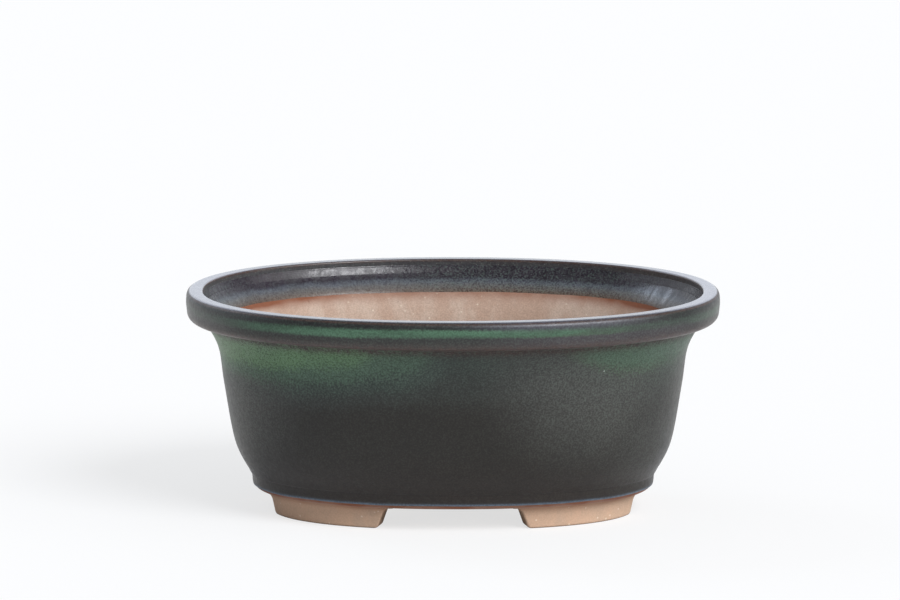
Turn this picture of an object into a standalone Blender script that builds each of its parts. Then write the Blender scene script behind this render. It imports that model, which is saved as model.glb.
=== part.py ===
# Oval bonsai pot, 210 mm long, made the way a maker luts one together from soft clay:
# a rim lip, a wall, a base band, a floor slab with two drain holes, and four cut feet.
# Frame: metres, +Z up, +X along the long axis, -Y to the front, the feet stand on Z = 0.
# The origin is on that surface, under the middle of the pot.
import math

import bmesh
import bpy
import numpy as np
from mathutils import Vector

MM = 0.001

# Plan: every course of the pot is this oval, drawn in by an inset along the oval's normals
LENGTH = 210.0 * MM
WIDTH = 158.0 * MM
OVAL_POWER = 2.17
OVAL_SIDES = 72

# Heights, each stacked on the one before, with the slip joint left open between pieces
FOOT_HEIGHT = 8.9 * MM
BAND_HEIGHT = 6.9 * MM
WALL_HEIGHT = 59.8 * MM
LIP_HEIGHT = 11.4 * MM
JOINT_GAP = 0.3 * MM

# Rim lip: flat on top, swelling a little outwards, rounded over above and more below
LIP_WIDTH = 6.8 * MM
LIP_SWELL = 0.8 * MM
LIP_BULGE_DROP = 4.5 * MM
LIP_BULGE_ROUND = 12.0 * MM
LIP_TOP_LEAN = 0.4 * MM
LIP_INNER_ROUND = 0.8 * MM
LIP_TOP_ROUND = 1.5 * MM
LIP_BOTTOM_ROUND = 3.6 * MM

# Wall: insets of its outer face, and how far each is below the lip or above the wall's foot
THROAT_INSET = 12.55 * MM
THROAT_DROP = 10.4 * MM
WAIST_INSET = 14.9 * MM
WAIST_DROP = 25.4 * MM
BELLY_INSET = 19.0 * MM
BELLY_RISE = 12.0 * MM
WALL_FOOT_INSET = 25.3 * MM
WALL_THICKNESS = 5.8 * MM

# Inside of the wall: the mouth slopes in from the lip, and a cove meets the floor
MOUTH_DROP = 4.8 * MM
MOUTH_RUN = 6.8 * MM
MOUTH_FALL = 7.4 * MM
FLOOR_COVE = 8.0 * MM
COVE_EDGE = 1.0 * MM
COVE_LAP = 2.0 * MM

# Base band: nearly upright and rounded over below
BAND_INSET = 25.65 * MM
BAND_LEAN = 0.5 * MM
BAND_ROUND = 4.6 * MM
BAND_DEPTH = 10.0 * MM

# Drain holes in the floor slab
DRAIN_DIAMETER = 20.0 * MM
DRAIN_SPACING = 70.0 * MM
DRAIN_SIDES = 28
DRAIN_CUT_MARGIN = 5.0 * MM

# Feet: four arcs of one oval foot ring, cut square to the oval, with coved and rounded ends
FOOT_INSET = 32.2 * MM
FOOT_TAPER = 1.1 * MM
FOOT_THICKNESS = 10.5 * MM
FOOT_EDGE_ROUND = 1.0 * MM
FOOT_COVE = 2.6 * MM
FOOT_END_COVE = 5.4 * MM
FOOT_END_COVE_ROOM = 8.5 * MM
FOOT_END_SLOPE = 3.5 * MM
FOOT_END_ROUND = 1.9 * MM
FOOT_END_EDGE = 0.5 * MM
FRONT_GAP = 53.0 * MM
END_GAP = 21.0 * MM
FOOT_STATIONS = 12

# Fineness: shares of a foot's face that get a course, samples along a quarter of the oval,
# and the share of a side that one rounding may take
FOOT_FACE_SHARES = (0.45, 0.7, 0.85, 1.0)
ARC_SAMPLES = 400
ROUND_ROOM = 0.49

# Levels worked out from the heights
UNDERSIDE_Z = FOOT_HEIGHT
BAND_TOP_Z = UNDERSIDE_Z + BAND_HEIGHT
WALL_BOTTOM_Z = BAND_TOP_Z + JOINT_GAP
LIP_BOTTOM_Z = WALL_BOTTOM_Z + WALL_HEIGHT
RIM_Z = LIP_BOTTOM_Z + LIP_HEIGHT

# Insets worked out from the widths
WALL_TOP_INSET = LIP_WIDTH + JOINT_GAP
BAND_INNER_INSET = BAND_INSET + BAND_DEPTH
FLOOR_INSET = BAND_INNER_INSET + JOINT_GAP
COVE_TOE_INSET = FLOOR_INSET + COVE_LAP


def clear_scene():
    for old in list(bpy.data.objects):
        bpy.data.objects.remove(old, do_unlink=True)


def clay(name, colour, roughness):
    material = bpy.data.materials.new(name)
    material.use_nodes = True
    shader = material.node_tree.nodes["Principled BSDF"]
    shader.inputs["Base Color"].default_value = (*colour, 1.0)
    shader.inputs["Roughness"].default_value = roughness
    shader.inputs["Metallic"].default_value = 0.0
    return material


def oval_point(angle, inset):
    # Point of the oval course at one angle of its formula, drawn in along the normal there
    c = math.cos(angle)
    s = math.sin(angle)
    power = 2.0 / OVAL_POWER
    half_x = LENGTH / 2
    half_y = WIDTH / 2
    point = Vector((half_x * math.copysign(abs(c) ** power, c),
                    half_y * math.copysign(abs(s) ** power, s)))
    normal = Vector((math.copysign(abs(c) ** (2.0 - power), c) / half_x,
                     math.copysign(abs(s) ** (2.0 - power), s) / half_y)).normalized()
    return point - normal * inset


def oval_course(inset, z):
    angles = [2 * math.pi * i / OVAL_SIDES for i in range(OVAL_SIDES)]
    return [Vector((*oval_point(a, inset), z)) for a in angles]


def rounded(corners, steps=3):
    # Outline through (inset, z, radius) corners; a radius is limited by its shorter side
    points = []
    for i, (x, z, radius) in enumerate(corners):
        here = Vector((x, z))
        if radius == 0.0:
            points.append(here)
            continue
        before = Vector(corners[i - 1][:2]) - here
        after = Vector(corners[(i + 1) % len(corners)][:2]) - here
        half_turn = before.angle(after) / 2
        room = min(before.length, after.length) * ROUND_ROOM
        tangent = min(radius / math.tan(half_turn), room)
        centre = here + (before.normalized() + after.normalized()).normalized() \
            * tangent / math.cos(half_turn)
        start = here + before.normalized() * tangent - centre
        end = here + after.normalized() * tangent - centre
        for k in range(steps + 1):
            points.append(centre + start.slerp(end, k / steps).normalized() * start.length)
    return points


def flowing(through, steps=3):
    # Smooth run through a few points, each span a cubic whose slopes follow its neighbours
    ends = [through[0] * 2 - through[1], *through, through[-1] * 2 - through[-2]]
    points = []
    for i in range(1, len(ends) - 2):
        a, b, c, d = ends[i - 1:i + 3]
        for k in range(steps):
            t = k / steps
            slope_b = (c - a) / 2
            slope_c = (d - b) / 2
            points.append(b * (1 + t * t * (2 * t - 3)) + c * t * t * (3 - 2 * t)
                          + slope_b * t * (t - 1) ** 2 + slope_c * t * t * (t - 1))
    points.append(through[-1])
    return points


def set_course(verts, inset, z):
    # The verts of a course keep their order round the pot, so each goes to its own place
    order = sorted(verts, key=lambda v: math.atan2(v.co.y, v.co.x) % (2 * math.pi))
    for vert, place in zip(order, oval_course(inset, z)):
        vert.co = place


def sweep_outline(bm, outline):
    # Carries an outline of (inset, z) points round the oval, one course for each point
    circle = bmesh.ops.create_circle(bm, segments=OVAL_SIDES, radius=1.0)
    set_course(circle["verts"], *outline[0])
    edges = list(bm.edges)
    for inset, z in [*outline[1:], outline[0]]:
        made = bmesh.ops.extrude_edge_only(bm, edges=edges)["geom"]
        edges = [g for g in made if isinstance(g, bmesh.types.BMEdge)]
        set_course([g for g in made if isinstance(g, bmesh.types.BMVert)], inset, z)
    bmesh.ops.remove_doubles(bm, verts=bm.verts, dist=1e-6)


def finish_object(bm, name, material, sharp_angle=40.0):
    bmesh.ops.recalc_face_normals(bm, faces=bm.faces)
    if bm.calc_volume(signed=True) < 0.0:
        bmesh.ops.reverse_faces(bm, faces=bm.faces)
    mesh = bpy.data.meshes.new(name)
    bm.to_mesh(mesh)
    bm.free()
    mesh.shade_smooth()
    mesh.set_sharp_from_angle(angle=math.radians(sharp_angle))
    mesh.materials.append(material)
    piece = bpy.data.objects.new(name, mesh)
    bpy.context.scene.collection.objects.link(piece)
    return piece


def make_rim_lip(material):
    outline = rounded([
        (LIP_WIDTH, LIP_BOTTOM_Z, 0.0),
        (LIP_WIDTH, RIM_Z, LIP_INNER_ROUND),
        (LIP_TOP_LEAN, RIM_Z, LIP_TOP_ROUND),
        (0.0, RIM_Z - LIP_BULGE_DROP, LIP_BULGE_ROUND),
        (LIP_SWELL, LIP_BOTTOM_Z, LIP_BOTTOM_ROUND),
    ])
    bm = bmesh.new()
    sweep_outline(bm, outline)
    return finish_object(bm, "rim_lip", material)


def make_wall(material):
    throat_z = LIP_BOTTOM_Z - THROAT_DROP
    waist_z = LIP_BOTTOM_Z - WAIST_DROP
    belly_z = WALL_BOTTOM_Z + BELLY_RISE
    outer = flowing([
        Vector((WALL_TOP_INSET, LIP_BOTTOM_Z)),
        Vector((THROAT_INSET, throat_z)),
        Vector((WAIST_INSET, waist_z)),
        Vector((BELLY_INSET, belly_z)),
        Vector((WALL_FOOT_INSET, WALL_BOTTOM_Z)),
    ])
    cove_z = WALL_BOTTOM_Z + COVE_EDGE
    belly_inside = Vector((BELLY_INSET + WALL_THICKNESS, belly_z))
    cove = rounded([
        (*belly_inside, 0.0),
        (WALL_FOOT_INSET + WALL_THICKNESS, cove_z, FLOOR_COVE),
        (COVE_TOE_INSET, cove_z, 0.0),
    ])[1:]
    mouth_z = RIM_Z - MOUTH_DROP
    inner = flowing([
        Vector((WALL_TOP_INSET, mouth_z)),
        Vector((WALL_TOP_INSET + MOUTH_RUN, mouth_z - MOUTH_FALL)),
        Vector((THROAT_INSET + WALL_THICKNESS, throat_z)),
        Vector((WAIST_INSET + WALL_THICKNESS, waist_z)),
        belly_inside,
    ])
    toe = Vector((COVE_TOE_INSET, WALL_BOTTOM_Z))
    bm = bmesh.new()
    sweep_outline(bm, [*outer, toe, *reversed(cove), *reversed(inner)])
    return finish_object(bm, "wall", material)


def make_base_band(material):
    outline = rounded([
        (BAND_INSET, BAND_TOP_Z, 0.0),
        (BAND_INSET + BAND_LEAN, UNDERSIDE_Z, BAND_ROUND),
        (BAND_INNER_INSET, UNDERSIDE_Z, 0.0),
        (BAND_INNER_INSET, BAND_TOP_Z, 0.0),
    ])
    bm = bmesh.new()
    sweep_outline(bm, outline)
    return finish_object(bm, "base_band", material)


def drain_cutter(side):
    bpy.ops.mesh.primitive_cylinder_add(
        vertices=DRAIN_SIDES, radius=DRAIN_DIAMETER / 2,
        depth=BAND_HEIGHT + 2 * DRAIN_CUT_MARGIN,
        location=(side * DRAIN_SPACING / 2, 0.0, UNDERSIDE_Z + BAND_HEIGHT / 2))
    cutter = bpy.context.object
    cutter.name = "drain_cutter"
    cutter.hide_render = True
    cutter.display_type = "WIRE"
    return cutter


def make_floor_slab(material):
    bm = bmesh.new()
    circle = bmesh.ops.create_circle(bm, segments=OVAL_SIDES, radius=1.0, cap_ends=True)
    set_course(circle["verts"], FLOOR_INSET, UNDERSIDE_Z)
    made = bmesh.ops.extrude_face_region(bm, geom=list(bm.faces))["geom"]
    top = [g for g in made if isinstance(g, bmesh.types.BMVert)]
    bmesh.ops.translate(bm, verts=top, vec=(0.0, 0.0, BAND_HEIGHT))
    slab = finish_object(bm, "floor_slab", material)
    for side in (-1, 1):
        cut = slab.modifiers.new("drain hole", "BOOLEAN")
        cut.operation = "DIFFERENCE"
        cut.solver = "EXACT"
        cut.object = drain_cutter(side)
    return slab


def foot_face_inset(z):
    # The foot's outer face leans in towards the ground and coves out to the underside
    top = FOOT_HEIGHT - JOINT_GAP
    lean = FOOT_TAPER * (top - z) / top
    above_cove = max(0.0, z - (top - FOOT_COVE))
    flare = FOOT_COVE - math.sqrt(max(0.0, FOOT_COVE ** 2 - above_cove ** 2))
    return FOOT_INSET + lean - flare


def foot_section(low_z):
    # Upright slice across the foot: outer face, coved and rounded, then the upright inner face
    top = FOOT_HEIGHT - JOINT_GAP
    edge = min(FOOT_EDGE_ROUND, (top - low_z) / 2)
    inner_inset = FOOT_INSET + FOOT_THICKNESS
    slice_points = []
    for k in range(4):
        angle = math.pi / 2 * k / 3
        z = low_z + edge * (1 - math.sin(angle))
        slice_points.append((foot_face_inset(z) + edge * (1 - math.cos(angle)), z))
    slice_points.reverse()
    for share in FOOT_FACE_SHARES:
        z = low_z + edge + (top - low_z - edge) * share
        slice_points.append((foot_face_inset(z), z))
    inner = [(inner_inset, top), (inner_inset, low_z + edge), (inner_inset - edge, low_z)]
    return [*slice_points, *inner]


def foot_end_outline():
    # Side view of a foot's end: (distance along the foot, height of its lower edge).
    # The distance starts where the sloping end would meet the foot's top without its cove.
    top = FOOT_HEIGHT - JOINT_GAP
    outline = rounded([
        (-FOOT_END_COVE_ROOM, top, 0.0),
        (0.0, top, FOOT_END_COVE),
        (FOOT_END_SLOPE, 0.0, FOOT_END_ROUND),
        (FOOT_END_SLOPE + 2 * FOOT_END_ROUND, 0.0, 0.0),
    ])
    return [(s, min(z, top - FOOT_END_EDGE)) for s, z in outline[1:-1]]


def foot_stations():
    # Angles round the oval, with the height of the foot's lower edge at each
    angles = np.linspace(0.0, math.pi / 2, ARC_SAMPLES)
    line = np.array([oval_point(a, FOOT_INSET) for a in angles])
    steps = np.linalg.norm(np.diff(line, axis=0), axis=1)
    lengths = np.concatenate([[0.0], np.cumsum(steps)])
    start = np.interp(END_GAP / 2, line[:, 1], lengths)
    stop = np.interp(-FRONT_GAP / 2, -line[:, 0], lengths)
    end = foot_end_outline()
    reach = end[-1][0]
    middle = np.linspace(start + reach, stop - reach, FOOT_STATIONS)[1:-1]
    places = [(start + s, z) for s, z in end]
    places += [(length, 0.0) for length in middle]
    places += [(stop - s, z) for s, z in reversed(end)]
    return [(float(np.interp(length, lengths, angles)), z) for length, z in places]


def make_foot(name, x_side, y_side, material):
    bm = bmesh.new()
    first_face = None
    for angle, low_z in foot_stations():
        places = []
        for inset, z in foot_section(low_z):
            x, y = oval_point(angle, inset)
            places.append(Vector((x * x_side, y * y_side, z)))
        if first_face is None:
            first_face = bm.faces.new([bm.verts.new(p) for p in places])
            edges = list(first_face.edges)
            last = list(first_face.verts)
            continue
        made = bmesh.ops.extrude_edge_only(bm, edges=edges)["geom"]
        edges = [g for g in made if isinstance(g, bmesh.types.BMEdge)]
        fresh = [g for g in made if isinstance(g, bmesh.types.BMVert)]
        following = []
        for old in last:
            twin = next(v for v in fresh if (v.co - old.co).length < 1e-9)
            fresh.remove(twin)
            following.append(twin)
        for vert, place in zip(following, places):
            vert.co = place
        last = following
    bm.faces.new(last)
    return finish_object(bm, name, material)


clear_scene()
glaze = clay("rim glaze", (0.050, 0.070, 0.062), 0.42)
make_rim_lip(glaze)
make_wall(clay("wall glaze", (0.058, 0.092, 0.060), 0.45))
make_base_band(clay("band glaze", (0.040, 0.036, 0.033), 0.45))
make_floor_slab(clay("floor clay", (0.50, 0.38, 0.29), 0.85))
foot_clay = clay("foot clay", (0.46, 0.34, 0.25), 0.85)
make_foot("foot_front_left", -1, -1, foot_clay)
make_foot("foot_front_right", 1, -1, foot_clay)
make_foot("foot_rear_left", -1, 1, foot_clay)
make_foot("foot_rear_right", 1, 1, foot_clay)
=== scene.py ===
# %% [markdown]
# # An oval bonsai pot, glazed green and black
# The pot is stoneware. A satin glaze covers its outside and its rim, and the inside, the
# underside and the feet are bare clay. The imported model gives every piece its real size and
# place. This lesson builds a finer skin for each piece on the same lines, and then finishes it
# with glaze and clay that are made only of nodes.

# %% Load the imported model
import math
from collections import namedtuple

import bmesh
import bpy
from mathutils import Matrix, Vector, noise


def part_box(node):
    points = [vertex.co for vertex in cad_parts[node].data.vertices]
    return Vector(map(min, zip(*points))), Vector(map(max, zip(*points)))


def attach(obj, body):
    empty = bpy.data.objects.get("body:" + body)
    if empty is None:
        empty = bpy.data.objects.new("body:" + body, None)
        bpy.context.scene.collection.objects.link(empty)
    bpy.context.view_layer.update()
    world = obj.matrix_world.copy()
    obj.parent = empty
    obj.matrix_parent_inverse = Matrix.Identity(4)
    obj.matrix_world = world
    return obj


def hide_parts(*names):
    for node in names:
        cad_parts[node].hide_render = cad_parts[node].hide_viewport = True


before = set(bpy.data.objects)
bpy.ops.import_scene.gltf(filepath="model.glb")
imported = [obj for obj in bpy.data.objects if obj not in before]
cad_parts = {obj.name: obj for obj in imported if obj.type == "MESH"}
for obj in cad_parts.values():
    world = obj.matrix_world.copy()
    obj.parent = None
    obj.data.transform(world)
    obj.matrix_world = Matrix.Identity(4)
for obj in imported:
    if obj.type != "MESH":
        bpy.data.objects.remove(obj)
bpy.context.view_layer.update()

# %% [markdown]
# ## Sizes
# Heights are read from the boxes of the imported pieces, so the skins always meet the model.
# Sizes across the clay are insets: how far a course lies inside the outermost oval, measured
# square to it. A course is one ring round the pot. Each inset stands where it is first used.

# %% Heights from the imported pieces
MM = 0.001
LIP_BOTTOM_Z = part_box("rim_lip")[0].z
RIM_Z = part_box("rim_lip")[1].z
WALL_BOTTOM_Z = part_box("wall")[0].z
BAND_TOP_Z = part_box("base_band")[1].z
UNDERSIDE_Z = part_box("base_band")[0].z
FLOOR_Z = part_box("floor_slab")[1].z
print("rim", round(RIM_Z / MM, 1), "underside", round(UNDERSIDE_Z / MM, 1), "mm")

# %% [markdown]
# ## The oval
# The plan is a little fuller than an ellipse. It could be drawn as four arcs, but arcs change
# their curve in a jump that a glossy glaze would show as a line. One formula with a power
# slightly above two stays smooth. Each course is that oval drawn in along its own normals.

# %% Points of the oval
LENGTH = 210.0 * MM
WIDTH = 158.0 * MM
OVAL_POWER = 2.17
AROUND = 288


def oval_place(angle):
    # A point of the outermost oval, and the direction square to it
    c = math.cos(angle)
    s = math.sin(angle)
    power = 2.0 / OVAL_POWER
    half_x = LENGTH / 2
    half_y = WIDTH / 2
    point = Vector((half_x * math.copysign(abs(c) ** power, c),
                    half_y * math.copysign(abs(s) ** power, s)))
    outward = Vector((math.copysign(abs(c) ** (2.0 - power), c) / half_x,
                      math.copysign(abs(s) ** (2.0 - power), s) / half_y)).normalized()
    return point, outward


RIM_PLACES = [oval_place(2 * math.pi * i / AROUND) for i in range(AROUND + 1)]
way_round = sum((b[0] - a[0]).length for a, b in zip(RIM_PLACES, RIM_PLACES[1:]))
print("way round the rim", round(way_round, 3), "m")

# %% [markdown]
# ## Outlines
# A potter shapes clay against a rib, a flat tool cut to the outline of the pot's wall. Two
# helpers draw such outlines. One rounds the corners of a few straight lines. The other runs
# smoothly through a few chosen points, which suits the slow curve of the wall.

# %% Outlines with rounded corners, and outlines that flow
ROUND_ROOM = 0.49


def rounded(corners, steps=8):
    # A corner is (inset, height, radius), and its round takes less than half of either side
    points = []
    for i, (inset, height, radius) in enumerate(corners):
        here = Vector((inset, height))
        if radius == 0.0:
            points.append(here)
            continue
        before = Vector(corners[i - 1][:2]) - here
        after = Vector(corners[(i + 1) % len(corners)][:2]) - here
        half_turn = before.angle(after) / 2
        room = min(before.length, after.length) * ROUND_ROOM
        tangent = min(radius / math.tan(half_turn), room)
        middle = (before.normalized() + after.normalized()).normalized()
        centre = here + middle * tangent / math.cos(half_turn)
        start = here + before.normalized() * tangent - centre
        end = here + after.normalized() * tangent - centre
        for k in range(steps + 1):
            points.append(centre + start.slerp(end, k / steps).normalized() * start.length)
    return points


def flowing(through, steps=10):
    ends = [through[0] * 2 - through[1], *through, through[-1] * 2 - through[-2]]
    points = []
    for i in range(1, len(ends) - 2):
        a, b, c, d = ends[i - 1:i + 3]
        for k in range(steps):
            t = k / steps
            points.append(b * (1 + t * t * (2 * t - 3)) + c * t * t * (3 - 2 * t)
                          + (c - a) / 2 * t * (t - 1) ** 2 + (d - b) / 2 * t * t * (t - 1))
    points.append(through[-1])
    return points


def evenly(points, pitch):
    # Puts extra points on long stretches, so that the faces stay near one size
    spread_out = [points[0]]
    for a, b in zip(points, points[1:]):
        pieces = max(1, round((b - a).length / pitch))
        spread_out += [a.lerp(b, k / pieces) for k in range(1, pieces + 1)]
    return spread_out

# %% [markdown]
# ## Glaze has an edge
# Glaze is a coat of glass about 0.2 mm thick. Outside it was wiped to a line, and ends there in
# a small bead. Inside the spray ran out slowly, and the glaze gets thin and brown before it
# stops. The clay beside a glaze line is flashed orange-brown by the fire. Every course
# therefore carries what it is covered with, and the step at the line is real geometry. The step
# and the colours then follow the same wavering line.

# %% Courses that know whether they are glazed
Course = namedtuple("Course", "inset height glazed inside flash bead slide")
GlazeEdge = namedtuple("GlazeEdge", "step rise bead bead_reach flash flash_reach")
WIPED_EDGE = GlazeEdge(step=0.16 * MM, rise=0.15 * MM, bead=0.6, bead_reach=0.6 * MM,
                       flash=1.0, flash_reach=5.5 * MM)
FADED_EDGE = GlazeEdge(step=0.04 * MM, rise=0.0, bead=1.0, bead_reach=1.5 * MM,
                       flash=0.85, flash_reach=3.2 * MM)
CORNER_SHARE = 0.3
SLIDE_REACH = 5.0 * MM
STILL = Vector((0.0, 0.0))


def plain_courses(points, glazed):
    return [Course(p.x, p.y, glazed, 0.0, 0.0, 0.0, STILL) for p in points]


def lay_glaze(points, line, inside=0.0):
    # The points run from the glazed end to the bare end. The glaze stops after a run of line.
    # A course near the line slides along with it where the line wavers.
    edge, turn = (FADED_EDGE, -1.0) if inside else (WIPED_EDGE, 1.0)
    run = 0.0
    courses = []
    for i, point in enumerate(points):
        if i > 0:
            run += (point - points[i - 1]).length
        along = (points[min(i + 1, len(points) - 1)] - points[max(i - 1, 0)]).normalized()
        off_clay = Vector((along.y, -along.x)) * turn
        far = abs(run - line)
        slide = along * math.exp(-(far / SLIDE_REACH) ** 2)
        if run < line:
            bead = math.exp(-(far / edge.bead_reach) ** 2)
            place = point + off_clay * edge.rise * bead
            courses.append(Course(*place, 1.0, inside, 0.0, bead, slide))
            continue
        if courses[-1].glazed:
            corner = point - off_clay * edge.step * CORNER_SHARE
            courses.append(Course(*corner, 1.0, inside, 0.0, edge.bead, slide))
        flash = edge.flash * math.exp(-(far / edge.flash_reach) ** 2)
        place = point - off_clay * edge.step
        courses.append(Course(*place, 0.0, inside, flash, 0.0, slide))
    return courses

# %% [markdown]
# ## Bending a sheet of clay round the oval
# Each ring-shaped piece starts as a flat grid, like a rolled sheet of clay. One direction of the
# grid becomes the way round the pot, the other becomes the outline. A full spin would only give
# a round pot, so the grid's points are moved to the oval and the seam is merged. The clay is
# left slightly uneven, and always inwards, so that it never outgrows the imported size.

# %% A sheet bent round the oval
UNEVEN = 0.22 * MM
UNEVEN_ROUND = 1.3
UNEVEN_TALL = 18.0
UNEVEN_GAIN = 1.6
LINE_SWAY = 0.22 * MM
LINE_ROUND = 5.0
LINE_HEIGHT = 7.3
LINE_RIPPLE = 0.35
MERGE_REACH = 0.0005 * MM


def ring_place(angle, around, height):
    # A place on a circle in the noise, so that the noise meets itself after one turn
    return Vector((math.cos(angle) * around, math.sin(angle) * around, height))


def hand_of_the_maker(angle, height):
    # From 0 to 1, changing slowly round the pot
    push = noise.noise(ring_place(angle, UNEVEN_ROUND, height * UNEVEN_TALL)) * UNEVEN_GAIN
    return 0.5 + 0.5 * max(-1.0, min(1.0, push))


def line_sway(angle):
    place = ring_place(angle, LINE_ROUND, LINE_HEIGHT)
    return LINE_SWAY * (noise.noise(place) + LINE_RIPPLE * noise.noise(place * 4.0))


def bend_round(courses, thin_edges=(), sway=line_sway):
    # A thin edge is (inset, height, reach): glaze runs off it and lets the brown clay show
    bm = bmesh.new()
    bm.loops.layers.uv.new("sheet")
    marks = ("glazed", "inside", "flash", "bead")
    layers = [(name, bm.verts.layers.float.new(name)) for name in marks]
    thin = bm.verts.layers.float.new("thin")
    rows = len(courses) - 1
    bmesh.ops.create_grid(bm, x_segments=AROUND, y_segments=rows, size=0.5, calc_uvs=True)
    for vert in bm.verts:
        i = round((vert.co.x + 0.5) * AROUND)
        course = courses[round((vert.co.y + 0.5) * rows)]
        angle = 2 * math.pi * (i % AROUND) / AROUND
        point, outward = RIM_PLACES[i]
        shift = course.slide * sway(angle)
        inset = course.inset + UNEVEN * hand_of_the_maker(angle, course.height) + shift.x
        for name, layer in layers:
            vert[layer] = getattr(course, name)
        here = Vector((course.inset, course.height))
        vert[thin] = max([math.exp(-((here - Vector((x, z))).length / reach) ** 2)
                          for x, z, reach in thin_edges], default=0.0)
        vert.co = (*(point - outward * inset), course.height + shift.y)
    bmesh.ops.remove_doubles(bm, verts=bm.verts, dist=MERGE_REACH)
    return bm

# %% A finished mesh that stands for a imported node
SHARP_ANGLE = math.radians(50.0)


def add_object(name, data):
    made = bpy.data.objects.new(name, data)
    bpy.context.scene.collection.objects.link(made)
    return made


def add_mesh(name, bm, material):
    mesh = bpy.data.meshes.new(name)
    bm.to_mesh(mesh)
    bm.free()
    mesh.materials.append(material)
    return add_object(name, mesh)


def make_piece(bm, node, material):
    bmesh.ops.recalc_face_normals(bm, faces=bm.faces)
    if bm.calc_volume(signed=True) < 0.0:
        bmesh.ops.reverse_faces(bm, faces=bm.faces)
    piece = add_mesh("pot_" + node, bm, material)
    piece.data.shade_smooth()
    piece.data.set_sharp_from_angle(angle=SHARP_ANGLE)
    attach(piece, "root")
    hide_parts(node)
    print(piece.name, len(piece.data.polygons), "faces")

# %% [markdown]
# ## Writing nodes in short lines
# A material is a tree of nodes, and small helpers keep the trees readable. Some plug a number,
# a colour or another node's socket into a socket, or put in a node with its sockets plugged.
# Each of the others writes one node that is used often, or two that always go together, into
# the tree of the sockets that it is given.

# %% Plug sockets and put in nodes
def tree_of(*values):
    # The tree that the sockets among some values belong to
    return next(value.id_data for value in values if isinstance(value, bpy.types.NodeSocket))


def plug(socket, value):
    if isinstance(value, bpy.types.NodeSocket):
        socket.id_data.links.new(value, socket)
    elif isinstance(value, tuple) and len(value) == 3 and socket.type == "RGBA":
        socket.default_value = (*value, 1.0)
    else:
        socket.default_value = value


def plug_all(node, **plugs):
    for name, value in plugs.items():
        plug(node.inputs[name.replace("_", " ")], value)


def put(tree, kind, output=0, settings=None, **plugs):
    made = tree.nodes.new("ShaderNode" + kind)
    for name, value in (settings or {}).items():
        setattr(made, name, value)
    plug_all(made, **plugs)
    return made.outputs[output]

# %% Places, marks and sums
def object_place(tree):
    return put(tree, "TexCoord", "Object")


def axis(where, name):
    return put(where.id_data, "SeparateXYZ", name, Vector=where)


def mark(tree, name):
    # Reads one of the marks that the mesh carries on its points
    return put(tree, "Attribute", "Fac", settings={"attribute_name": name})


def calc(operation, first, second=0.0):
    made = tree_of(first, second).nodes.new("ShaderNodeMath")
    made.operation = operation
    plug(made.inputs[0], first)
    plug(made.inputs[1], second)
    return made.outputs[0]


def times(first, second):
    return calc("MULTIPLY", first, second)


def plus(first, second):
    return calc("ADD", first, second)

# %% Ranges, blends and patterns
NOISE_RANGE = (0.3, 0.7)


def step(value, low, high, bottom=0.0, top=1.0):
    return put(value.id_data, "MapRange", settings={"interpolation_type": "SMOOTHSTEP"},
               Value=value, From_Min=low, From_Max=high, To_Min=bottom, To_Max=top)


def spread(pattern, bottom, top):
    # A noise lies mostly between 0.3 and 0.7, and this spreads it from bottom to top
    return step(pattern, *NOISE_RANGE, bottom, top)


def between(share, first, second):
    return put(share.id_data, "MapRange", Value=share, To_Min=first, To_Max=second)


def blend(amount, first, second, how="MIX"):
    # Sockets 6 and 7 of a Mix node are its two colours, and output 2 is the mixed colour
    made = tree_of(amount, first, second).nodes.new("ShaderNodeMix")
    made.data_type = "RGBA"
    made.blend_type = how
    plug(made.inputs["Factor"], amount)
    plug(made.inputs[6], first)
    plug(made.inputs[7], second)
    return made.outputs[2]


def shaded(colour, shade):
    grey = put(shade.id_data, "CombineColor", Red=shade, Green=shade, Blue=shade)
    return blend(1.0, colour, grey, "MULTIPLY")


def cloud(where, scale, detail=2.0, rough=0.5):
    # Scales are in repeats to the metre
    return put(where.id_data, "TexNoise", Vector=where, Scale=scale, Detail=detail,
               Roughness=rough)


def swayed(level, pattern, amount):
    # Shifts a level by minus to plus half the amount, as the pattern goes from 0 to 1
    return plus(level, times(calc("SUBTRACT", pattern, 0.5), amount))


def stretched(where, across, along):
    return put(where.id_data, "Mapping", Vector=where, Scale=(across, across, along))


def ramp(value, stops):
    made = value.id_data.nodes.new("ShaderNodeValToRGB")
    made.color_ramp.interpolation = "EASE"
    elements = made.color_ramp.elements
    elements.remove(elements[1])
    for i, (place, colour) in enumerate(stops):
        stop = elements[0] if i == 0 else elements.new(place)
        stop.position = place
        stop.color = (*colour, 1.0)
    plug(made.inputs["Fac"], value)
    return made.outputs["Color"]

# %% [markdown]
# ## Shared effects
# Five effects are used by more than one finish, so each is a node group that is built once:
# the satin glaze's flecks and fine pebbling, the stoneware's grain, the band between two
# heights, the brown that shows where glaze is thin, and the flashed clay beside the glaze.

# %% A group builder
def new_group(name, inputs, outputs):
    # A socket whose label ends in Colour holds a colour, and every other holds a number
    tree = bpy.data.node_groups.new(name, "ShaderNodeTree")
    for in_out, labels in (("INPUT", inputs), ("OUTPUT", outputs)):
        for label in labels:
            kind = "NodeSocketColor" if label.endswith("Colour") else "NodeSocketFloat"
            tree.interface.new_socket(name=label, in_out=in_out, socket_type=kind)
    into = tree.nodes.new("NodeGroupInput").outputs
    out = tree.nodes.new("NodeGroupOutput").inputs
    return tree, into, out


def use(tree, group, **plugs):
    return put(tree, "Group", settings={"node_tree": group}, **plugs).node.outputs

# %% Satin glaze: flecks under the surface, rare pale specks and a fine pebbled skin
FINE_GRAIN = 1500.0
PEBBLES = 520.0
FIRING_CLOUDS = 60.0
SPECK_COLOUR = (0.30, 0.34, 0.30)
SHINE_GAIN = 0.14


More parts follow.
